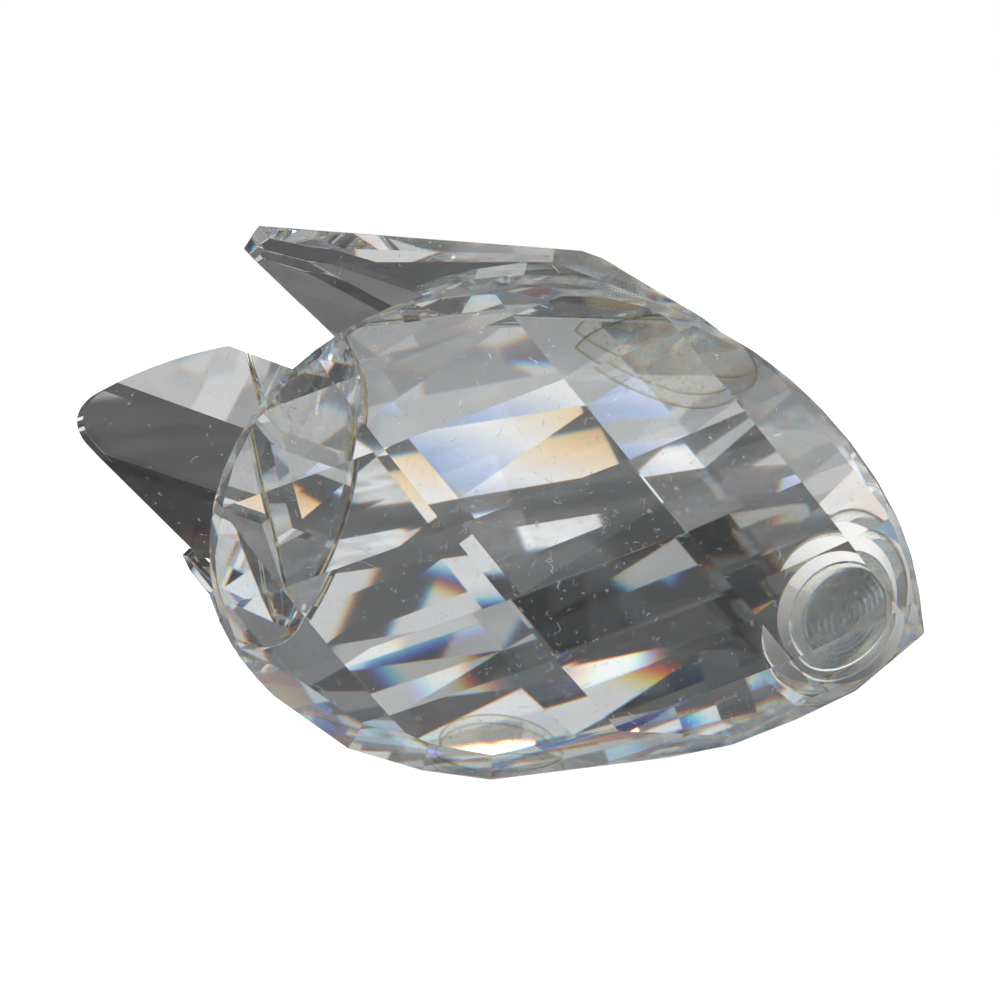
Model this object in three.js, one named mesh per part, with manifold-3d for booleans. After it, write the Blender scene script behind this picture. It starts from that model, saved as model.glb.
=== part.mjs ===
// A fish-like figurine of cut crystal glass, in millimetres, +Z up, nose towards +X.
// Two domed flank crystals hold a flat core between them. A leaf-shaped tail with its root and a long
// back crystal sit in the core's own plane, and each flank has a drilled socket with a clear eye in it.
// Everything is bonded with thin films of clear adhesive. The origin is on the flat base of the core.
import * as THREE from "three";
import { mergeVertices } from "three/addons/utils/BufferGeometryUtils.js";
import Module from "manifold-3d";

const wasm = await Module();
wasm.setup();

// ---- driving dimensions ----
const CORE_HALF = 3.5; // half the thickness of the core, tail and back crystals
const GAP = 0.3; // between a flank and the core, filled by the pads of adhesive
const FLANK_FACE = CORE_HALF + GAP; // where a flank's flat inner face lies
const DOME = 18.6; // a flank's thickness at its crown
const JOINT = 0.4; // width of a bonded joint in the core's plane
const FILM_SIDE = 0.1; // clear space on each side of a film in such a joint
const FILM_HALF = 3.1; // half the width of such a film, across the flanks
const CUTTER_HALF = 9; // half the thickness of a plate that cuts right through the core
const PAD_SIDE = 0.03; // clear space on each side of a flank's pad
const CORE_INSET = 0.5; // how far the core's rim lies inside the flanks' rim
const CURVE_STEPS = 14; // straight steps in each curved stretch of an outline
const ROUND_STEPS = 56; // facets of a turned piece

// A flank's cut: two families of straight facet edges. Each edge is given by its distance from the
// crown, and the facets between two edges share a slope, which is the rise in that direction.
const CROWN_AT = new THREE.Vector2(10.7, 29.3);
const STEEP = { edges: [-35.4, -18.3, 0, 12, 17.2], slopes: [0.78, 0.3, 0.02, -0.38, -0.95, -2.2] };
const SHALLOW = {
  edges: [-21.3, -11.8, -4.3, 4.4, 14, 21.6],
  slopes: [0.92, 0.58, 0.22, -0.03, -0.3, -0.62, -1.25],
};
// The right flank has that cut. On the left one the strips between shallow edges are half as wide, and
// each facet is creased along a diagonal into two long triangles, because every other corner is sunk.
const CUTS = {
  right: { steep: { angle: -58, ...STEEP }, shallow: { angle: 14, ...SHALLOW }, sunk: 0 },
  left: { steep: { angle: -58, ...STEEP }, shallow: { angle: 14, ...halved(SHALLOW) }, sunk: 0.3 },
};
const EDGE_REACH = 60; // how far the outermost facets run on past the outline
const RIM_BEVEL = 0.9; // how much of a flank's side wall its rim bevel takes off
const RIM_STEP = 1; // how far inside the rim the slope beside it is measured

const NOSE = new THREE.Vector2(37.7, 10);
const CROWN = new THREE.Vector2(-5, 52); // the top of the body
const REAR = new THREE.Vector2(-35.5, 26.4);
const HEEL = new THREE.Vector2(-31.1, 11.7);
const BASE_HALF = 9.5; // half the length of the flat base
// The corners of the belly, from the heel forwards to the nose.
const BELLY = [
  HEEL.toArray(),
  [-24.1, 5.2],
  [-16.6, 1.9],
  [-BASE_HALF, 0],
  [BASE_HALF, 0],
  [16.4, 0.8],
  [23.3, 2.6],
  [29.8, 4.8],
  NOSE.toArray(),
];
const GIRDLE = 1.8; // a flank's thickness at the edge of the belly
const NOSE_GIRDLE = 3; // the same from the base forwards, which leaves narrower facets there
const BELLY_SLOPE = THREE.MathUtils.degToRad(60); // of the narrow facets along that edge
const EYE = new THREE.Vector2(26.4, 15.2); // centre of the eye in side view
const SOCKET = { mouth: 6.5, floor: 5.9, depth: 3.8, crown: 1.1 }; // radii, depth and its floor's rise
const SOCKET_LEAN = new THREE.Vector2(0.3, -0.22); // sideways shift of a socket for each step outwards
const EYE_SIDE = 0.2; // clear space between an eye and its socket

// ---- materials ----
const crystal = new THREE.MeshStandardMaterial({ color: 0xe9edf0, roughness: 0.02, metalness: 0 });
const lens = new THREE.MeshStandardMaterial({ color: 0xf4f6f7, roughness: 0.01, metalness: 0 });
const adhesive = new THREE.MeshStandardMaterial({ color: 0xd8c890, roughness: 0.25, metalness: 0 });

// ---- solids ----
function solid(geometry) {
  const plain = geometry.clone();
  plain.deleteAttribute("normal");
  plain.deleteAttribute("uv");
  const merged = mergeVertices(plain, 1e-4);
  return new wasm.Manifold(
    new wasm.Mesh({
      numProp: 3,
      vertProperties: new Float32Array(merged.attributes.position.array),
      triVerts: new Uint32Array(merged.index.array),
    }),
  );
}

function piece(name, body, material, side = 1) {
  const mesh = body.getMesh();
  const geometry = new THREE.BufferGeometry();
  geometry.setAttribute("position", new THREE.BufferAttribute(mesh.vertProperties, 3));
  geometry.setIndex(new THREE.BufferAttribute(mesh.triVerts, 1));
  const made = new THREE.Mesh(geometry, material);
  made.name = name;
  made.scale.y = side; // the right-hand pieces mirror the left-hand ones
  return made;
}

// An outline in side view, (x, z), made solid between two values of y.
function plate(shape, low, high) {
  const depth = high - low;
  const geometry = new THREE.ExtrudeGeometry(shape, {
    depth,
    bevelEnabled: false,
    curveSegments: CURVE_STEPS,
  });
  geometry.rotateX(Math.PI / 2);
  geometry.translate(0, high, 0);
  return solid(geometry);
}

function polygon(points) {
  return new THREE.Shape(points.map((point) => new THREE.Vector2(...point)));
}

// The same outline moved outwards along its normals by a distance, or inwards if that is negative.
function grown(shape, by) {
  const points = shape.getPoints(CURVE_STEPS);
  if (points[0].distanceTo(points.at(-1)) < 1e-6) points.pop();
  const sign = THREE.ShapeUtils.area(points) > 0 ? 1 : -1;
  const outward = (from, to) => {
    const along = to.clone().sub(from).normalize();
    return new THREE.Vector2(along.y * sign, -along.x * sign);
  };
  const moved = points.map((point, i) => {
    const before = outward(points.at(i - 1), point);
    const after = outward(point, points[(i + 1) % points.length]);
    const middle = before.clone().add(after).normalize();
    return middle.multiplyScalar(by / middle.dot(before)).add(point);
  });
  return new THREE.Shape(moved);
}

// Everything on the outer side of a plane, as one large block.
function beyond(point, normal) {
  const reach = 200;
  const block = new THREE.BoxGeometry(reach, reach, reach);
  block.translate(0, 0, reach / 2);
  const turn = new THREE.Quaternion().setFromUnitVectors(new THREE.Vector3(0, 0, 1), normal);
  block.applyQuaternion(turn);
  block.translate(point.x, point.y, point.z);
  return solid(block);
}

// Cuts one sloping facet on each face of a flat piece. The facet starts at a crease, given by two points
// in side view where the piece has one half thickness, and falls to another at a third point.
function facet(body, start, end, creaseHalf, low, lowHalf) {
  let cut = body;
  for (const side of [1, -1]) {
    const a = new THREE.Vector3(start[0], side * creaseHalf, start[1]);
    const b = new THREE.Vector3(end[0], side * creaseHalf, end[1]);
    const c = new THREE.Vector3(low[0], side * lowHalf, low[1]);
    const normal = b.clone().sub(a).cross(c.clone().sub(a)).normalize();
    if (normal.y * side < 0) normal.negate();
    cut = cut.subtract(beyond(a, normal));
  }
  return cut;
}

// ---- outlines in side view ----
function flankOutline() {
  const shape = new THREE.Shape();
  shape.moveTo(NOSE.x, NOSE.y);
  shape.bezierCurveTo(38.9, 29.6, 20.4, 52.4, CROWN.x, CROWN.y); // over the head
  shape.bezierCurveTo(-17.7, 52.1, -34.1, 43.8, REAR.x, REAR.y);
  shape.quadraticCurveTo(-35.7, 18.2, HEEL.x, HEEL.y);
  BELLY.slice(1, -1).forEach((point) => shape.lineTo(...point));
  shape.closePath();
  return shape;
}

function leafOutline() {
  const shape = new THREE.Shape();
  shape.moveTo(-47.5, 40.6);
  shape.quadraticCurveTo(-49.2, 43.6, -46.2, 45.4); // the rounded tip
  shape.bezierCurveTo(-39, 48.6, -31, 49.4, -24, 48.6);
  shape.quadraticCurveTo(-17.5, 46.4, -16.8, 40);
  shape.quadraticCurveTo(-17.4, 30, -25, 20.6);
  shape.quadraticCurveTo(-28.4, 17.6, -32.4, 19.6);
  shape.closePath();
  return shape;
}

function backOutline() {
  return polygon([[-28.5, 58.8], [-19.8, 47.9], [22.5, 42], [18.8, 45.6], [8, 54], [-26.6, 61]]);
}

// ---- flanks ----
// A finer chain of edges and slopes: each strip between two edges becomes a steeper and a flatter one.
function halved({ edges, slopes }) {
  const middles = edges.slice(1).map((edge, i) => (edges[i] + edge) / 2);
  const finer = edges.flatMap((edge, i) => (i < middles.length ? [edge, middles[i]] : [edge]));
  const inner = slopes.slice(1, -1).flatMap((slope, i) => {
    const before = (slopes[i] - slope) / 4;
    const after = (slope - slopes[i + 2]) / 4;
    const change = Math.min(before, after);
    return [slope + change, slope - change];
  });
  return { edges: finer, slopes: [slopes[0], ...inner, slopes.at(-1)] };
}

// The loss of thickness at a distance from the crown: a chain of straight slopes between edges.
function fallAt(distance, { edges, slopes }) {
  const ends = [-Infinity, ...edges, Infinity];
  let fall = 0;
  slopes.forEach((slope, i) => {
    const low = Math.max(ends[i], Math.min(distance, 0));
    const high = Math.min(ends[i + 1], Math.max(distance, 0));
    if (high > low) fall += slope * (high - low) * (distance < 0 ? 1 : -1);
  });
  return fall;
}

// The direction in side view in which a family's distances are measured, square to its edges.
function across(family) {
  const angle = THREE.MathUtils.degToRad(family.angle);
  return new THREE.Vector2(-Math.sin(angle), Math.cos(angle));
}

function surfaceY(cut, u, v) {
  return FLANK_FACE + DOME - fallAt(u, cut.steep) - fallAt(v, cut.shallow);
}

function surfaceAt(cut, point) {
  const away = point.clone().sub(CROWN_AT);
  return surfaceY(cut, away.dot(across(cut.steep)), away.dot(across(cut.shallow)));
}

// A solid whose outer face is a grid of flat four-sided facets: its height is the sum of two chains of
// slopes, one across each family of facet edges. Where every other corner is sunk, a crease between the
// other two corners parts each facet into two triangles.
function cutDome(cut) {
  const p = across(cut.steep);
  const q = across(cut.shallow);
  const place = (u, v) => {
    const scale = p.cross(q);
    return [CROWN_AT.x + (u * q.y - v * p.y) / scale, CROWN_AT.y + (v * p.x - u * q.x) / scale];
  };
  const stretched = ({ edges }) => [edges[0] - EDGE_REACH, ...edges, edges.at(-1) + EDGE_REACH];
  const us = stretched(cut.steep);
  const vs = stretched(cut.shallow);
  const depth = -4 * EDGE_REACH;
  const positions = [];
  for (const top of [true, false])
    us.forEach((u, i) => {
      vs.forEach((v, j) => {
        const [x, z] = place(u, v);
        const height = surfaceY(cut, u, v) - ((i + j) % 2) * cut.sunk;
        positions.push(x, top ? height : depth, z);
      });
    });
  const rows = us.length;
  const columns = vs.length;
  const bottom = rows * columns;
  const at = (i, j) => i * columns + j;
  const index = [];
  const quad = (a, b, c, d) => index.push(a, b, c, a, c, d);
  for (let i = 0; i + 1 < rows; i++)
    for (let j = 0; j + 1 < columns; j++) {
      const corners = [at(i, j), at(i, j + 1), at(i + 1, j + 1), at(i + 1, j)];
      if ((i + j) % 2) corners.push(corners.shift()); // the crease joins the corners that aren't sunk
      quad(...corners);
      quad(bottom + at(i, j), bottom + at(i + 1, j), bottom + at(i + 1, j + 1), bottom + at(i, j + 1));
    }
  for (let i = 0; i + 1 < rows; i++) {
    quad(at(i, 0), at(i + 1, 0), bottom + at(i + 1, 0), bottom + at(i, 0));
    const end = columns - 1;
    quad(at(i + 1, end), at(i, end), bottom + at(i, end), bottom + at(i + 1, end));
  }
  for (let j = 0; j + 1 < columns; j++) {
    quad(at(0, j + 1), at(0, j), bottom + at(0, j), bottom + at(0, j + 1));
    const end = rows - 1;
    quad(at(end, j), at(end, j + 1), bottom + at(end, j + 1), bottom + at(end, j));
  }
  const geometry = new THREE.BufferGeometry();
  geometry.setAttribute("position", new THREE.Float32BufferAttribute(positions, 3));
  geometry.setIndex(index);
  return solid(geometry);
}

// A turned solid about the eye's axis, from a profile of (radius, y), that may lean as a socket does.
function turnedAtEye(profile, lean = new THREE.Vector2()) {
  const geometry = new THREE.LatheGeometry(
    profile.map((point) => new THREE.Vector2(...point)),
    ROUND_STEPS,
  );
  geometry.translate(0, -FLANK_FACE, 0);
  geometry.applyMatrix4(new THREE.Matrix4().makeShear(0, 0, lean.x, lean.y, 0, 0));
  geometry.translate(EYE.x, FLANK_FACE, EYE.y);
  return solid(geometry);
}

// A round cap's profile: a circular arc from (radius, y) up to (0, y + crown).
function cap(radius, y, crown, steps = 8) {
  const sphere = (radius * radius + crown * crown) / (2 * crown);
  const edge = Math.asin(radius / sphere);
  return Array.from({ length: steps + 1 }, (_, i) => {
    const turn = edge * (1 - i / steps);
    return [i === steps ? 0 : sphere * Math.sin(turn), y + crown - sphere * (1 - Math.cos(turn))];
  });
}

function socketTool() {
  const start = FLANK_FACE - 1;
  const floor = FLANK_FACE + SOCKET.depth;
  const mouth = [
    [0, start],
    [SOCKET.mouth, start],
    [SOCKET.mouth, FLANK_FACE],
  ];
  return turnedAtEye([...mouth, ...cap(SOCKET.floor, floor, SOCKET.crown)], SOCKET_LEAN);
}

function eyeLens() {
  const back = FLANK_FACE + PAD_SIDE;
  const shoulder = FLANK_FACE + SOCKET.depth - EYE_SIDE;
  const mouth = [
    [0, back],
    [SOCKET.mouth - EYE_SIDE, back],
  ];
  return turnedAtEye([...mouth, ...cap(SOCKET.floor - EYE_SIDE, shoulder, SOCKET.crown)], SOCKET_LEAN);
}

// The narrow facets along the belly: one for each of its straight edges.
function trimBelly(body) {
  let cut = body;
  for (let i = 0; i + 1 < BELLY.length; i++) {
    const [from, to] = [BELLY[i], BELLY[i + 1]].map((point) => new THREE.Vector2(...point));
    const along = to.clone().sub(from).normalize();
    const out = Math.sin(BELLY_SLOPE);
    const normal = new THREE.Vector3(along.y * out, Math.cos(BELLY_SLOPE), -along.x * out);
    const girdle = from.x < BASE_HALF ? GIRDLE : NOSE_GIRDLE;
    cut = cut.subtract(beyond(new THREE.Vector3(from.x, FLANK_FACE + girdle, from.y), normal));
  }
  return cut;
}

// The polished bevel round the rest of the rim: one flat for each step of the outline, tilted halfway
// between the side wall and the facet beside it.
function bevelRim(body, cut) {
  const points = flankOutline().getPoints(CURVE_STEPS);
  const round = points.slice(0, 3 * CURVE_STEPS + 1);
  let made = body;
  for (let i = 0; i + 1 < round.length; i++) {
    const along = round[i + 1].clone().sub(round[i]).normalize();
    const outward = new THREE.Vector2(along.y, -along.x);
    const middle = round[i].clone().add(round[i + 1]).divideScalar(2);
    const height = surfaceAt(cut, middle);
    const inner = surfaceAt(cut, middle.clone().addScaledVector(outward, -RIM_STEP));
    const tilt = (Math.atan((inner - height) / RIM_STEP) + Math.PI / 2) / 2;
    const side = Math.sin(tilt);
    const normal = new THREE.Vector3(outward.x * side, Math.cos(tilt), outward.y * side);
    const start = new THREE.Vector3(middle.x, height - RIM_BEVEL, middle.y);
    made = made.subtract(beyond(start, normal));
  }
  return made;
}

function flank(cut) {
  const blank = plate(flankOutline(), FLANK_FACE, FLANK_FACE + DOME + 1);
  return bevelRim(trimBelly(blank.intersect(cutDome(cut))), cut).subtract(socketTool());
}

// ---- the flat pieces between the flanks ----
const leaf = leafOutline();
const back = backOutline();
const JOINT_TOP = new THREE.Vector2(-29.8, 49.4); // the line where the tail meets its root
const JOINT_FOOT = new THREE.Vector2(-25.6, 17);

// The part of a solid behind (towards the tip) or ahead of the joint line, moved off it by a distance.
function besideJoint(body, ahead, off) {
  const along = JOINT_FOOT.clone().sub(JOINT_TOP).normalize();
  const normal = new THREE.Vector3(-along.y, 0, along.x); // points forwards
  const point = new THREE.Vector3(JOINT_TOP.x, 0, JOINT_TOP.y).addScaledVector(normal, off);
  return body.subtract(beyond(point, ahead ? normal.negate() : normal));
}

function leafBlank() {
  let body = plate(leaf, -CORE_HALF, CORE_HALF);
  body = facet(body, [-44, 45.4], [-30.7, 38.6], CORE_HALF, [-36, 48.6], 0.9); // upper face
  body = facet(body, [-45.9, 38.7], [-34.8, 33.4], CORE_HALF, [-40, 30.3], 1); // lower face
  return body;
}

function tail() {
  return besideJoint(leafBlank(), false, -JOINT / 2);
}

// The tail's root has two more facets than the tail: a bevel along its top and one beside the joint.
function rootFacets(body) {
  const topped = facet(body, [-28.6, 37.6], [-17, 43.4], CORE_HALF, [-25, 46.4], 1.5);
  return facet(topped, [-25.4, 39], [-22.4, 19], CORE_HALF, [-27.6, 29], 2.1);
}

function tailRoot() {
  return rootFacets(besideJoint(leafBlank(), true, JOINT / 2));
}

function tailBond() {
  const inside = grown(leaf, -0.35);
  const film = rootFacets(plate(inside, -CORE_HALF, CORE_HALF).intersect(leafBlank()));
  const half = JOINT / 2 - FILM_SIDE;
  return besideJoint(besideJoint(film, true, -half), false, half);
}

function backCrystal() {
  let body = plate(back, -CORE_HALF, CORE_HALF);
  body = facet(body, [-25.4, 58.7], [8.6, 51.2], 2.6, [8, 54], 0.6); // along the top edge
  body = facet(body, [-24.6, 58.5], [-8, 50.6], CORE_HALF, [-9, 55.4], 2.6); // below that
  body = facet(body, [6.6, 49.4], [19.8, 42.6], CORE_HALF, [13.4, 49.8], 0.8); // falling to the head
  body = facet(body, [-24.4, 58.4], [-13.4, 50.6], CORE_HALF, [-23, 52.6], 1.5); // under the tip
  body = facet(body, [-24.6, 61], [-26.8, 56], 3.2, [-27.6, 59.9], 1.5); // the cut tip
  return body;
}

// A film of adhesive round the part of an outline that lies in a window of side view.
function seatFilm(shape, window) {
  const outer = plate(grown(shape, JOINT - FILM_SIDE), -FILM_HALF, FILM_HALF);
  const ring = outer.subtract(plate(grown(shape, FILM_SIDE), -CUTTER_HALF, CUTTER_HALF));
  return ring.intersect(plate(polygon(window), -CUTTER_HALF, CUTTER_HALF));
}

function core() {
  const base = polygon([[-BASE_HALF, 0], [BASE_HALF, 0], [16, 3.4], [-16, 3.4]]);
  const heel = [[-39, 27.6], [-38.4, 25.8], [-36.7, 23], [-36, 19.9], [-35, 17.2], [-33.5, 14.7]];
  const heelFoot = [[-31.4, 12.2], [-28.6, 12.6], [-26, 19], [-33, 25]];
  let body = plate(grown(flankOutline(), -CORE_INSET), -CORE_HALF, CORE_HALF);
  body = body.add(plate(polygon([...heel, ...heelFoot]), -CORE_HALF, CORE_HALF));
  body = body.add(plate(base, -CORE_HALF, CORE_HALF));
  for (const seated of [leaf, back])
    body = body.subtract(plate(grown(seated, JOINT), -CUTTER_HALF, CUTTER_HALF));
  return body.decompose().sort((a, b) => b.volume() - a.volume())[0];
}

// ---- pads of adhesive between a flank and the core ----
const PAD_LOW = CORE_HALF + PAD_SIDE;
const PAD_HIGH = FLANK_FACE - PAD_SIDE;

function upperPad() {
  const shape = new THREE.Shape();
  shape.moveTo(4, 40.8);
  shape.quadraticCurveTo(6.5, 43.8, 13, 44);
  shape.bezierCurveTo(18.5, 43.8, 21.6, 40.3, 21, 36.6);
  shape.bezierCurveTo(19.8, 33.6, 15.5, 33.4, 12.4, 34.8);
  shape.quadraticCurveTo(6.4, 37.6, 4, 40.8);
  return plate(shape, PAD_LOW, PAD_HIGH);
}

function lowerPad() {
  const shape = new THREE.Shape();
  shape.absellipse(-7.8, 6.4, 6.4, 4, 0, 2 * Math.PI, false, THREE.MathUtils.degToRad(-16));
  return plate(shape, PAD_LOW, PAD_HIGH);
}

function eyePad() {
  const radius = SOCKET.mouth - EYE_SIDE;
  return turnedAtEye([[0, PAD_LOW], [radius, PAD_LOW], [radius, PAD_HIGH], [0, PAD_HIGH]]);
}

// ---- the figurine ----
const figurine = new THREE.Group();
const sides = { left: 1, right: -1 };
for (const [side, sign] of Object.entries(sides)) {
  figurine.add(
    piece("flank_crystal_" + side, flank(CUTS[side]), crystal, sign),
    piece("eye_lens_" + side, eyeLens(), lens, sign),
    piece("upper_bond_" + side, upperPad(), adhesive, sign),
    piece("lower_bond_" + side, lowerPad(), adhesive, sign),
    piece("eye_bond_" + side, eyePad(), adhesive, sign),
  );
}
figurine.add(
  piece("core_crystal", core(), crystal),
  piece("tail_crystal", tail(), crystal),
  piece("tail_root_crystal", tailRoot(), crystal),
  piece("back_crystal", backCrystal(), crystal),
  piece("tail_bond", tailBond(), adhesive),
  piece("root_bond", seatFilm(leaf, [[-24.2, 21.6], [-14, 21.6], [-14, 43.6], [-24.2, 43.6]]), adhesive),
  piece("heel_bond", seatFilm(leaf, [[-31, 16], [-38.6, 26.4], [-37.4, 27.8], [-29.4, 20.4]]), adhesive),
  piece("back_bond", seatFilm(back, [[-17.6, 39], [20.6, 39], [20.6, 42.9], [-17.6, 48.5]]), adhesive),
);

export default figurine;
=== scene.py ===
"""A fish-like figurine of cut crystal glass on a pale table, seen from its right side."""

import math

import bpy
from mathutils import Matrix, Vector

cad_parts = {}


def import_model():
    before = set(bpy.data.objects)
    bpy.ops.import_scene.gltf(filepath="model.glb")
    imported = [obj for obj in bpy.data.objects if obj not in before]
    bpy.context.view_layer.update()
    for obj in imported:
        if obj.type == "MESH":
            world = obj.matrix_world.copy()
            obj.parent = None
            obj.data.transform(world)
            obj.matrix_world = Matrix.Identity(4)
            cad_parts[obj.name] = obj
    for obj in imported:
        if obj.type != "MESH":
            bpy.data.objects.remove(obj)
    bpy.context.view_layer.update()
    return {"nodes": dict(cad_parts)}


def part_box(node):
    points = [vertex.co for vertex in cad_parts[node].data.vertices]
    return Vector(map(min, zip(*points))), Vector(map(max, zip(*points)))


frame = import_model()

# ---- the view, in metres and radians ----
VIEW_WIDTH = 0.1071  # the width of the picture, measured at the figurine
VIEW_DISTANCE = 0.28
SENSOR_WIDTH = 36  # millimetres, as Blender gives it
VIEW_HEIGHT = math.radians(5)
VIEW_ROLL = math.radians(7.1)
LOOK_AT = Vector((-0.0049, 0, 0.0289))

# ---- the glass ----
CRYSTAL_IOR = 1.56
ADHESIVE_IOR = 1.5
PADS = ("upper_bond", "lower_bond", "eye_bond")  # they lie flat on the core; the others are films in joints
WALL_STEEPNESS = 0.75  # a socket's faces whose normal has less than this of Y are its ground wall
EDGE_STEEPNESS = 0.5  # a pad's faces with less than this of Y are its edges, and a film's with more
SOCKET_REACH = 0.62  # a socket's radius against its eye's width
SOCKET_DEPTH = 0.0004  # how far behind its eye a socket's faces lie at most
DISPERSION = 0.03  # the IOR of violet less that of red, a little wide as one surface does the splitting
BLUR = 0.05  # a trace of roughness, which blends the bands of colours
EYE_BLUR = 0.08  # the roughness of the eyes and of the sockets' floors, which are polished less finely
# The share of each band of colours, from red to violet, in the red, green and blue that the camera sees.
BANDS = [
    (0.34, 0.0, 0.03),
    (0.36, 0.06, 0.0),
    (0.22, 0.26, 0.0),
    (0.04, 0.36, 0.06),
    (0.0, 0.24, 0.25),
    (0.0, 0.08, 0.36),
    (0.04, 0.0, 0.30),
]

# ---- the wear and the polish ----
DUST_TONE = 0.75
DUST_STRENGTH = 0.7
SCRATCH_BEND = 0.004  # how far the scratches wander from a straight line
CLEAN_CELLS = 0.78  # the share of the pattern's cells that hold no speck
OUTLINE_WIDTH = 0.0006  # of the darker line along the edges of the adhesive
RIM_POLISH = 0.00015  # how wide the polished rim of a crystal is
FACET_POLISH = 0.00005  # the same for the edges between its facets

# ---- the scales of the patterns: the higher, the finer ----
SPECKS = 900.0
SCRATCH_WAVES = 260.0
SCRATCH_LENGTHS = 330.0
SCRATCHED_SPOTS = 700.0
DRILL_GRAIN = 2600.0
DRILL_CLOUDS = 420.0
BUBBLES = 1400.0
CLOTH_MOTTLE = 5.0
PAPER_CREASE_SHADING = 150.0
ROOM_PATCHES = 5.5
TABLE_LIGHT_PATCHES = 65.0

# ---- the studio, in metres, with directions in degrees ----
# Azimuth 0 is straight behind the figurine and 90 is on its nose's side. The camera sees white all round
# it. The glass shows a room of grey patches, a darker table in painted patches of light and shade, the
# cards and cloths, the figurine's shadow painted on the table as a dark sheet, and the lamps.
ROOM_DISTANCE = 1.6
BEHIND_LAMPS = 0.1  # how far a dark card stands behind the lamps that shine in front of it
CLOTH_AND_SHADOW_LEVEL = 0.0001
CARD_LEVEL = 0.0003  # the cards lie on the cloth
FLOOR_LEVEL = -0.0002
FLOOR_SIZE = 24
ROOM_TONES = [0.15, 0.15, 0.24, 0.4, 0.55, 0.6, 0.78]
# Dark cards: the azimuth and height of the middle, and how wide and tall. The first is behind the figurine.
DARK_CARDS = [
    (0, 17, 60, 52),
    (-170, 8, 20, 16),
    (-132, 27, 16, 10),
    (-127, 38, 30, 30),
    (-178, 36, 14, 10),
    (-96, 26, 16, 16),
    (-63, 49, 16, 14),
    (-56, 26, 12, 10),
    (121, 2, 14, 12),
]
# Dark sheets on the table: a cloth, and under the nose and past it the figurine's shadow, painted as a dark
# sheet.
CLOTH_AND_SHADOW_SHEETS = [
    [(-0.075, 0.125), (-0.022, 0.11), (-0.01, 0.09), (0, 0.112), (0.11, 0.095), (0.95, 1.5), (-0.85, 1.5)],
    [(0.012, 0.002), (0.06, 0), (0.14, 0), (0.14, 0.05), (0.08, 0.055), (0.02, 0.045)],
]
# Soft boxes: the azimuth and height of the middle, how wide and tall, the roll, and the brightness.
SOFT_BOXES = [
    (-38, 12, 8, 8, 30, 0.9),
    (48, 14, 7, 10, 0, 0.9),
    (8, 1.5, 4.5, 3.5, 4, 0.7),
    (13.5, 3, 2, 5, 30, 0.6),
    (15, 7, 3, 2.5, 20, 0.65),
    (11.5, 14, 5, 5, -12, 0.5),
    (9, 14, 18, 28, 0, 0.03),
    (26, 9, 9, 16, 0, 0.14),
    (-4.5, 14.5, 2, 4, -35, 0.8),
    (-5, 24.5, 4, 4, 20, 0.7),
    (3, 31, 4, 4, 10, 0.7),
    (12.5, 38, 5, 5, 25, 0.8),
    (23, 32, 14, 10, 0, 0.12),
    (-2.5, 1, 3.4, 2.6, 0, 0.17),
]
# Rows of narrow strips of light in front of the dark card: the first one's azimuth, the step to the next,
# how many, their middle's height, how wide and tall, their roll, and their brightness.
STRIPS = [
    (3, 5, 4, 10, 2.2, 8, 38, 0.35),
    (6, 6, 3, 19, 2.2, 7, -28, 0.4),
    (-10, 5, 2, 21, 2, 6, 30, 0.45),
]
# Lamps: azimuth, height, size and brightness. They make the sparkles and their colours.
LAMPS = [
    (100, 61, 6, 3.0),
    (142, 68, 7, 2.6),
    (57, 44, 4, 6.5),
    (-30, 52, 4, 6.5),
    (-62, 6, 4, 5.5),
    (-115, 33, 3, 3.5),
    (168, 33, 5, 2.5),
    (-158, 12, 4, 3.0),
]
# Wide lights that the glass doesn't show as lamps: azimuth, height, strength and spread.
WIDE_LIGHTS = [
    (0, 90, 3.3, 70),
    (112, 12, 1.6, 40),
]
# Tinted cards: their corners and brightness. The large bright facet shows the first and the head's edge the
# second. Their colours, from the near left to the far right, stand for the wider split in a real crystal.
RAINBOW_CARDS = [
    ([(-0.004, 0.098), (0.02, 0.095), (0.021, 0.15), (-0.004, 0.145), (-0.009, 0.122)], 1.0),
    ([(-0.05, 0.1), (-0.048, 0.122), (-0.11, 0.185), (-0.138, 0.15)], 1.05),
]
RAINBOW = [(0.26, 0.31, 0.42), (0.4, 0.52, 0.78), (0.95, 0.95, 0.95), (1.0, 0.78, 0.5), (0.75, 0.45, 0.18)]
# White cards on the table: their corners and their brightness.
WHITE_CARDS = [
    ([(-0.03, -0.11), (-0.03, -0.26), (0.006, -0.26), (0.004, -0.11)], 0.95),
    ([(0.034, 0.18), (0.06, 0.18), (0.1, 0.42), (0.05, 0.42)], 0.75),
    ([(0.008, 0.44), (0.03, 0.44), (0.046, 0.8), (0.012, 0.8)], 0.95),
    ([(-0.15, 0.04), (-0.06, 0.04), (-0.06, 0.095), (-0.17, 0.11)], 0.56),
    ([(-0.215, 0.48), (-0.185, 0.48), (-0.2, 0.64), (-0.24, 0.64)], 1.3),
    ([(-0.44, 0.02), (-0.32, 0.02), (-0.32, 0.05), (-0.44, 0.06)], 2.0),
]


def add(tree, kind, inputs=(), **settings):
    made = tree.nodes.new("ShaderNode" + kind)
    for key, value in settings.items():
        setattr(made, key, value)
    for key, value in dict(inputs).items():
        if hasattr(value, "links"):
            tree.links.new(value, made.inputs[key])
        else:
            made.inputs[key].default_value = value
    return made


def new_material(name):
    material = bpy.data.materials.new(name)
    material.use_nodes = True
    material.node_tree.nodes.clear()
    return material, material.node_tree


def grey(value):
    return (value, value, value, 1)


def is_camera(tree):
    return add(tree, "LightPath").outputs["Is Camera Ray"]


def blend_color(tree, factor, first, second):
    mix = add(tree, "Mix", data_type="RGBA")
    for socket, value in ((mix.inputs["Factor"], factor), (mix.inputs[6], first), (mix.inputs[7], second)):
        if hasattr(value, "links"):
            tree.links.new(value, socket)
        else:
            socket.default_value = value
    return mix.outputs[2]


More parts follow.
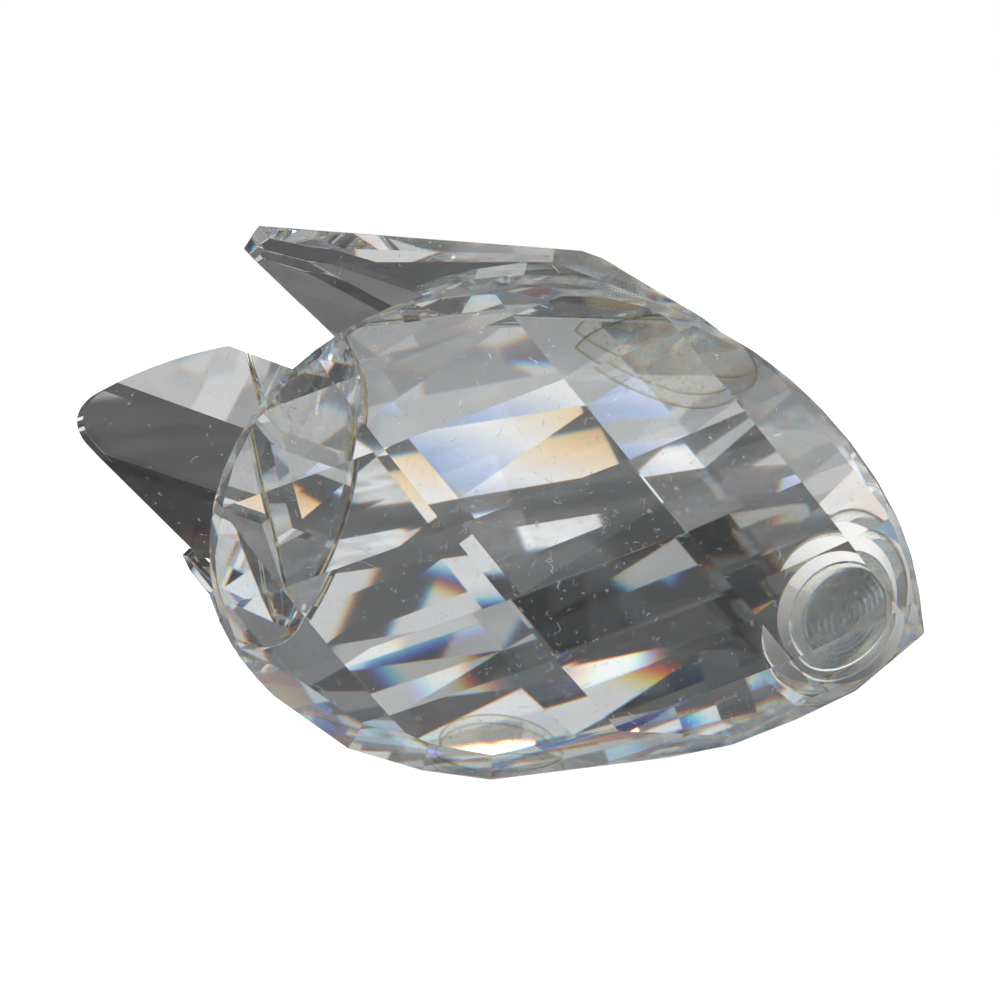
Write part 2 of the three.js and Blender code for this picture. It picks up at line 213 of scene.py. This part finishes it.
def clear_lobe(tree, color, ior, roughness):
    inputs = {"Base Color": color, "Transmission Weight": 1, "IOR": ior, "Roughness": roughness}
    return add(tree, "BsdfPrincipled", inputs).outputs[0]


def rainbow_lobe(tree):
    """Glass that splits white light: one lobe for each band of colours, mixed in equal shares."""
    mixed = None
    for i, share in enumerate(BANDS):
        ior = CRYSTAL_IOR + DISPERSION * (i / (len(BANDS) - 1) - 0.5)
        color = [len(BANDS) * part for part in share]
        lobe = add(tree, "BsdfGlass", {"Color": (*color, 1), "Roughness": BLUR, "IOR": ior}).outputs[0]
        if mixed is None:
            mixed = lobe
        else:
            mixed = add(tree, "MixShader", {0: 1 / (i + 1), 1: mixed, 2: lobe}).outputs[0]
    return mixed


def dust(tree):
    """A mask of fine dust and short hairlike scratches on a polished surface."""
    place = add(tree, "TexCoord").outputs["Object"]
    specks = add(tree, "TexVoronoi", {"Vector": place, "Scale": SPECKS, "Randomness": 1.0})
    near = add(tree, "MapRange", {"Value": specks.outputs["Distance"], "From Min": 0.1, "From Max": 0.04})
    pick = add(tree, "SeparateColor", {0: specks.outputs["Color"]})
    some = add(tree, "Math", {0: pick.outputs[0], 1: CLEAN_CELLS}, operation="GREATER_THAN")
    dots = add(tree, "Math", {0: near.outputs[0], 1: some.outputs[0]}, operation="MULTIPLY")
    bend = add(tree, "TexNoise", {"Vector": place, "Scale": SCRATCH_WAVES})
    warp = add(tree, "VectorMath", {0: bend.outputs["Color"], 1: [SCRATCH_BEND] * 3}, operation="MULTIPLY")
    moved = add(tree, "VectorMath", {0: place, 1: warp.outputs[0]}, operation="ADD")
    webs = {"Vector": moved.outputs[0], "Scale": SCRATCH_LENGTHS}
    lines = add(tree, "TexVoronoi", webs, feature="DISTANCE_TO_EDGE")
    thin = add(tree, "MapRange", {"Value": lines.outputs["Distance"], "From Min": 0.014, "From Max": 0.006})
    where = add(tree, "TexNoise", {"Vector": place, "Scale": SCRATCHED_SPOTS})
    there = add(tree, "MapRange", {"Value": where.outputs[0], "From Min": 0.64, "From Max": 0.7})
    scratch = add(tree, "Math", {0: thin.outputs[0], 1: there.outputs[0]}, operation="MULTIPLY")
    both = add(tree, "Math", {0: dots.outputs[0], 1: scratch.outputs[0]}, operation="MAXIMUM")
    return add(tree, "Math", {0: both.outputs[0], 1: DUST_STRENGTH}, operation="MULTIPLY").outputs[0]


def dusted(tree, clean):
    """A polished surface with dust and scratches on it."""
    grit = add(tree, "BsdfDiffuse", {"Color": grey(DUST_TONE)}).outputs[0]
    return add(tree, "MixShader", {0: dust(tree), 1: clean, 2: grit}).outputs[0]


def crystal():
    material, tree = new_material("crystal")
    plain = clear_lobe(tree, (0.975, 0.985, 0.99, 1), CRYSTAL_IOR, 0)
    split = add(tree, "MixShader", {0: is_camera(tree), 1: plain, 2: rainbow_lobe(tree)}).outputs[0]
    add(tree, "OutputMaterial", {"Surface": dusted(tree, split)})
    return material


def soft_crystal():
    """The eyes and the floors of their sockets, which show things less sharply than the cut facets."""
    material, tree = new_material("soft_crystal")
    clear = clear_lobe(tree, (0.985, 0.99, 0.99, 1), CRYSTAL_IOR, EYE_BLUR)
    add(tree, "OutputMaterial", {"Surface": dusted(tree, clear)})
    return material


def frosted():
    """The ground walls of the drilled sockets: pale, with the fine grain of the drill."""
    material, tree = new_material("frosted")
    place = add(tree, "TexCoord").outputs["Object"]
    grain = add(tree, "TexNoise", {"Vector": place, "Scale": DRILL_GRAIN, "Detail": 3.0})
    cloud = add(tree, "TexNoise", {"Vector": place, "Scale": DRILL_CLOUDS, "Detail": 2.0})
    tone = blend_color(tree, cloud.outputs[0], (0.88, 0.88, 0.86, 1), (0.98, 0.98, 0.96, 1))
    bump = add(tree, "Bump", {"Height": grain.outputs[0], "Strength": 0.3, "Distance": 0.00005})
    lobe = add(
        tree,
        "BsdfPrincipled",
        {
            "Base Color": tone,
            "Transmission Weight": 0.1,
            "IOR": CRYSTAL_IOR,
            "Roughness": 0.5,
            "Normal": bump.outputs[0],
        },
    )
    add(tree, "OutputMaterial", {"Surface": lobe.outputs[0]})
    return material


def adhesive(name, thin, thick):
    """Clear adhesive with fine bubbles and a darker outline, in the colours of its thin and thick parts."""
    material, tree = new_material(name)
    place = add(tree, "TexCoord").outputs["Object"]
    bubbles = add(tree, "TexVoronoi", {"Vector": place, "Scale": BUBBLES})
    rim = add(tree, "MapRange", {"Value": bubbles.outputs["Distance"], "From Min": 0.12, "From Max": 0.2})
    plain = add(tree, "NewGeometry").outputs["Normal"]
    soft = add(tree, "Bevel", {"Radius": OUTLINE_WIDTH})
    level = add(tree, "VectorMath", {0: plain, 1: soft.outputs[0]}, operation="DOT_PRODUCT").outputs["Value"]
    inner = add(tree, "MapRange", {"Value": level, "From Min": 0.85, "From Max": 0.99})
    share = add(tree, "Math", {0: rim.outputs[0], 1: inner.outputs[0]}, operation="MINIMUM")
    tint = blend_color(tree, share.outputs[0], (*thick, 1), (*thin, 1))
    add(tree, "OutputMaterial", {"Surface": clear_lobe(tree, tint, ADHESIVE_IOR, 0.02)})
    return material


def polish(piece):
    """Softens a piece's cut edges a little, as polishing does."""
    weld = piece.modifiers.new("weld", "WELD")
    weld.merge_threshold = 2e-6
    for name, width, angle, segments in (("rim", RIM_POLISH, 30, 2), ("facets", FACET_POLISH, 2.5, 1)):
        bevel = piece.modifiers.new(name, "BEVEL")
        bevel.width = width
        bevel.segments = segments
        bevel.limit_method = "ANGLE"
        bevel.angle_limit = math.radians(angle)
        bevel.use_clamp_overlap = True


def dress_adhesive(piece, aged, pad):
    """Adhesive yellows where it meets the air, round the edges of the pads and films."""
    piece.data.materials.append(aged)
    for face in piece.data.polygons:
        if (abs(face.normal.y) < EDGE_STEEPNESS) == pad:
            face.material_index = 1


def dress_socket(piece, ground, soft):
    """The ground wall and the smooth floor of the eye socket that is drilled in a flank."""
    low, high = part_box("eye_lens_left")
    eye = (low + high) / 2
    reach = SOCKET_REACH * (high.x - low.x)
    inside = high.y + SOCKET_DEPTH
    piece.data.materials.append(ground)
    piece.data.materials.append(soft)
    for face in piece.data.polygons:
        off = Vector((face.center.x - eye.x, face.center.z - eye.z)).length
        if off < reach and low.y < abs(face.center.y) < inside:
            wall = abs(face.normal.y) < WALL_STEEPNESS
            face.material_index = 1 if wall else 2
            face.use_smooth = not wall


def dress_nodes():
    clear = crystal()
    soft = soft_crystal()
    ground = frosted()
    glue = adhesive("adhesive", (0.99, 0.985, 0.95), (0.6, 0.48, 0.26))
    aged = adhesive("aged_adhesive", (0.9, 0.76, 0.42), (0.8, 0.6, 0.25))
    for name, piece in frame["nodes"].items():
        bond = "bond" in name
        lens = "lens" in name
        piece.data.materials.clear()
        if bond:
            piece.data.materials.append(glue)
        else:
            piece.data.materials.append(soft if lens else clear)
        for face in piece.data.polygons:
            # Only the round caps of the eyes and the floors of their sockets are smooth.
            face.use_smooth = lens and abs(face.normal.y) > WALL_STEEPNESS
        if bond:
            dress_adhesive(piece, aged, name.startswith(PADS))
        if name.startswith("flank"):
            dress_socket(piece, ground, soft)
        if not bond and not lens:
            polish(piece)
        piece.visible_shadow = False


def towards(azimuth, height):
    """A place round the figurine: its -Z, where a lamp shines, looks at the figurine from that direction."""
    turn = Matrix.Rotation(-math.radians(azimuth), 4, "Z")
    tilt = Matrix.Rotation(math.radians(height), 4, "X")
    facing = Matrix.Rotation(-math.pi / 2, 4, "X")
    return Matrix.Translation(LOOK_AT) @ turn @ tilt @ Matrix.Translation((0, ROOM_DISTANCE, 0)) @ facing


def width_of(degrees):
    """How wide a thing at the room's distance is, from the angle that it takes up."""
    return 2 * ROOM_DISTANCE * math.tan(math.radians(degrees / 2))


def soft_box(azimuth, height, wide, tall, roll, brightness, shape="RECTANGLE"):
    data = bpy.data.lights.new("soft_box", "AREA")
    data.shape = shape
    data.size = width_of(wide)
    data.size_y = width_of(tall)
    area = data.size * data.size_y * (math.pi / 4 if shape == "ELLIPSE" else 1)
    # An area lamp's radiance is its power over pi times its area.
    data.energy = brightness * math.pi * area
    made = bpy.data.objects.new("soft_box", data)
    bpy.context.scene.collection.objects.link(made)
    made.matrix_world = towards(azimuth, height) @ Matrix.Rotation(math.radians(roll), 4, "Z")
    made.visible_camera = False


def panel(name, corners, material, place):
    """A flat staged piece from its corners in its own plane."""
    mesh = bpy.data.meshes.new(name)
    mesh.from_pydata([(*corner, 0) for corner in corners], [], [range(len(corners))])
    mesh.materials.append(material)
    made = bpy.data.objects.new(name, mesh)
    bpy.context.scene.collection.objects.link(made)
    made.matrix_world = place
    return made


def rectangle(wide, tall):
    return [(x * wide / 2, y * tall / 2) for x, y in ((-1, -1), (1, -1), (1, 1), (-1, 1))]


def dark_cloth_and_shadow(name, least, most):
    """Dark cloth or felt, and the painted shadow sheet, mottled at random between two shades of grey."""
    material, tree = new_material(name)
    place = add(tree, "TexCoord").outputs["Object"]
    mottle = add(tree, "TexNoise", {"Vector": place, "Scale": CLOTH_MOTTLE, "Detail": 2.0})
    shade = blend_color(tree, mottle.outputs[0], grey(least), grey(most))
    lobe = add(tree, "BsdfDiffuse", {"Color": shade}).outputs[0]
    add(tree, "OutputMaterial", {"Surface": lobe})
    return material


def white_card(brightness):
    """A lit sheet of crumpled paper: its light is painted as a glow, with painted light and shade in cells
    for its crumpled facets.
    """
    material, tree = new_material("white_card")
    place = add(tree, "TexCoord").outputs["Object"]
    crease_shading = add(tree, "TexVoronoi", {"Vector": place, "Scale": PAPER_CREASE_SHADING})
    pick = add(tree, "SeparateColor", {0: crease_shading.outputs["Color"]})
    tone = blend_color(tree, pick.outputs[0], grey(0.6), grey(1.35))
    glow = add(tree, "Emission", {"Color": tone, "Strength": brightness}).outputs[0]
    add(tree, "OutputMaterial", {"Surface": glow})
    return material


def steps(tree, value, colors, sharp=False):
    """Colours at even steps of a value from 0 to 1, with sharp borders or blending into each other."""
    ramp = add(tree, "ValToRGB", {0: value})
    ramp.color_ramp.interpolation = "CONSTANT" if sharp else "LINEAR"
    while len(ramp.color_ramp.elements) < len(colors):
        ramp.color_ramp.elements.new(0.5)
    last = len(colors) if sharp else len(colors) - 1
    for i, color in enumerate(colors):
        ramp.color_ramp.elements[i].position = i / last
        ramp.color_ramp.elements[i].color = (*color, 1)
    return ramp.outputs[0]


def rainbow_card(brightness):
    material, tree = new_material("rainbow_card")
    place = add(tree, "SeparateXYZ", {0: add(tree, "TexCoord").outputs["Generated"]})
    both = add(tree, "Math", {0: place.outputs["X"], 1: place.outputs["Y"]}, operation="ADD")
    middle = add(tree, "Math", {0: both.outputs[0], 1: 0.5}, operation="MULTIPLY")
    tone = steps(tree, middle.outputs[0], RAINBOW)
    glow = add(tree, "Emission", {"Color": tone, "Strength": brightness}).outputs[0]
    add(tree, "OutputMaterial", {"Surface": glow})
    return material


def room(tree):
    """What the glass shows of the room: walls, windows and furniture as patches of light and dark."""
    place = add(tree, "TexCoord").outputs["Generated"]
    cells = add(tree, "TexVoronoi", {"Vector": place, "Scale": ROOM_PATCHES, "Randomness": 0.95})
    pick = add(tree, "SeparateColor", {0: cells.outputs["Color"]})
    tones = [(value * 0.98, value, value * 1.02) for value in ROOM_TONES]
    return steps(tree, pick.outputs[0], tones, sharp=True)


def wide_light(azimuth, height, strength, spread):
    """Even light from one side, which the glass doesn't show as a lamp."""
    data = bpy.data.lights.new("wide_light", "SUN")
    data.energy = strength
    data.angle = math.radians(spread)
    made = bpy.data.objects.new("wide_light", data)
    bpy.context.scene.collection.objects.link(made)
    made.matrix_world = towards(azimuth, height)
    made.visible_glossy = False
    made.visible_transmission = False


def world():
    made = bpy.data.worlds.new("studio")
    bpy.context.scene.world = made
    made.use_nodes = True
    tree = made.node_tree
    tree.nodes.clear()
    seen = blend_color(tree, is_camera(tree), room(tree), grey(1))
    background = add(tree, "Background", {"Color": seen}).outputs[0]
    add(tree, "OutputWorld", {"Surface": background})


def lamps():
    for values in SOFT_BOXES:
        soft_box(*values)
    for first, step, count, *place in STRIPS:
        for i in range(count):
            soft_box(first + step * i, *place)
    for azimuth, height, size, brightness in LAMPS:
        soft_box(azimuth, height, size, size, 0, brightness, "ELLIPSE")
    for values in WIDE_LIGHTS:
        wide_light(*values)


def cards():
    """The cloth, the figurine's painted shadow and the cards that only the glass shows."""
    cloth_and_shadow_tone = dark_cloth_and_shadow("dark_cloth_and_shadow", 0.025, 0.09)
    felt = dark_cloth_and_shadow("dark_felt", 0.02, 0.065)
    on_table = Matrix.Translation((0, 0, CLOTH_AND_SHADOW_LEVEL))
    above_cloth = Matrix.Translation((0, 0, CARD_LEVEL))
    # The second of these sheets is the figurine's shadow on the table, painted as a dark sheet.
    staged = [panel("dark_cloth_and_shadow", corners, cloth_and_shadow_tone, on_table) for corners in CLOTH_AND_SHADOW_SHEETS]
    for azimuth, height, wide, tall in DARK_CARDS:
        place = towards(azimuth, height) @ Matrix.Translation((0, 0, BEHIND_LAMPS))
        staged.append(panel("dark_card", rectangle(width_of(wide), width_of(tall)), felt, place))
    for corners, brightness in RAINBOW_CARDS:
        staged.append(panel("rainbow_card", corners, rainbow_card(brightness), above_cloth))
    for corners, brightness in WHITE_CARDS:
        staged.append(panel("white_card", corners, white_card(brightness), above_cloth))
    for made in staged:
        made.visible_camera = False
        made.visible_shadow = False
        made.visible_diffuse = False


def floor():
    material, tree = new_material("floor")
    place = add(tree, "TexCoord").outputs["Object"]
    # The table that the glass shows is darker than the white floor that the camera sees, in random patches
    # of painted light and shade.
    cloud = add(tree, "TexVoronoi", {"Vector": place, "Scale": TABLE_LIGHT_PATCHES})
    shade = add(tree, "SeparateColor", {0: cloud.outputs["Color"]})
    inside = blend_color(tree, shade.outputs[0], (0.1, 0.101, 0.102, 1), (0.43, 0.428, 0.42, 1))
    seen = blend_color(tree, is_camera(tree), inside, grey(0.92))
    lobe = add(tree, "BsdfDiffuse", {"Color": seen}).outputs[0]
    add(tree, "OutputMaterial", {"Surface": lobe})
    panel("floor", rectangle(FLOOR_SIZE, FLOOR_SIZE), material, Matrix.Translation((0, 0, FLOOR_LEVEL)))


def camera():
    data = bpy.data.cameras.new("camera")
    data.sensor_width = SENSOR_WIDTH
    data.lens = data.sensor_width * VIEW_DISTANCE / VIEW_WIDTH
    data.clip_start = 0.01
    made = bpy.data.objects.new("camera", data)
    bpy.context.scene.collection.objects.link(made)
    level = Matrix.Rotation(math.pi / 2 - VIEW_HEIGHT, 4, "X")
    roll = Matrix.Rotation(-VIEW_ROLL, 4, "Z")
    back = Vector((0, -math.cos(VIEW_HEIGHT), math.sin(VIEW_HEIGHT))) * VIEW_DISTANCE
    made.matrix_world = Matrix.Translation(LOOK_AT + back) @ level @ roll
    bpy.context.scene.camera = made


def cycles_settings():
    cycles = bpy.context.scene.cycles
    cycles.max_bounces = 32
    cycles.transmission_bounces = 32
    cycles.glossy_bounces = 24
    bpy.context.scene.view_settings.view_transform = "Standard"


dress_nodes()
world()
lamps()
cards()
floor()
camera()
cycles_settings()
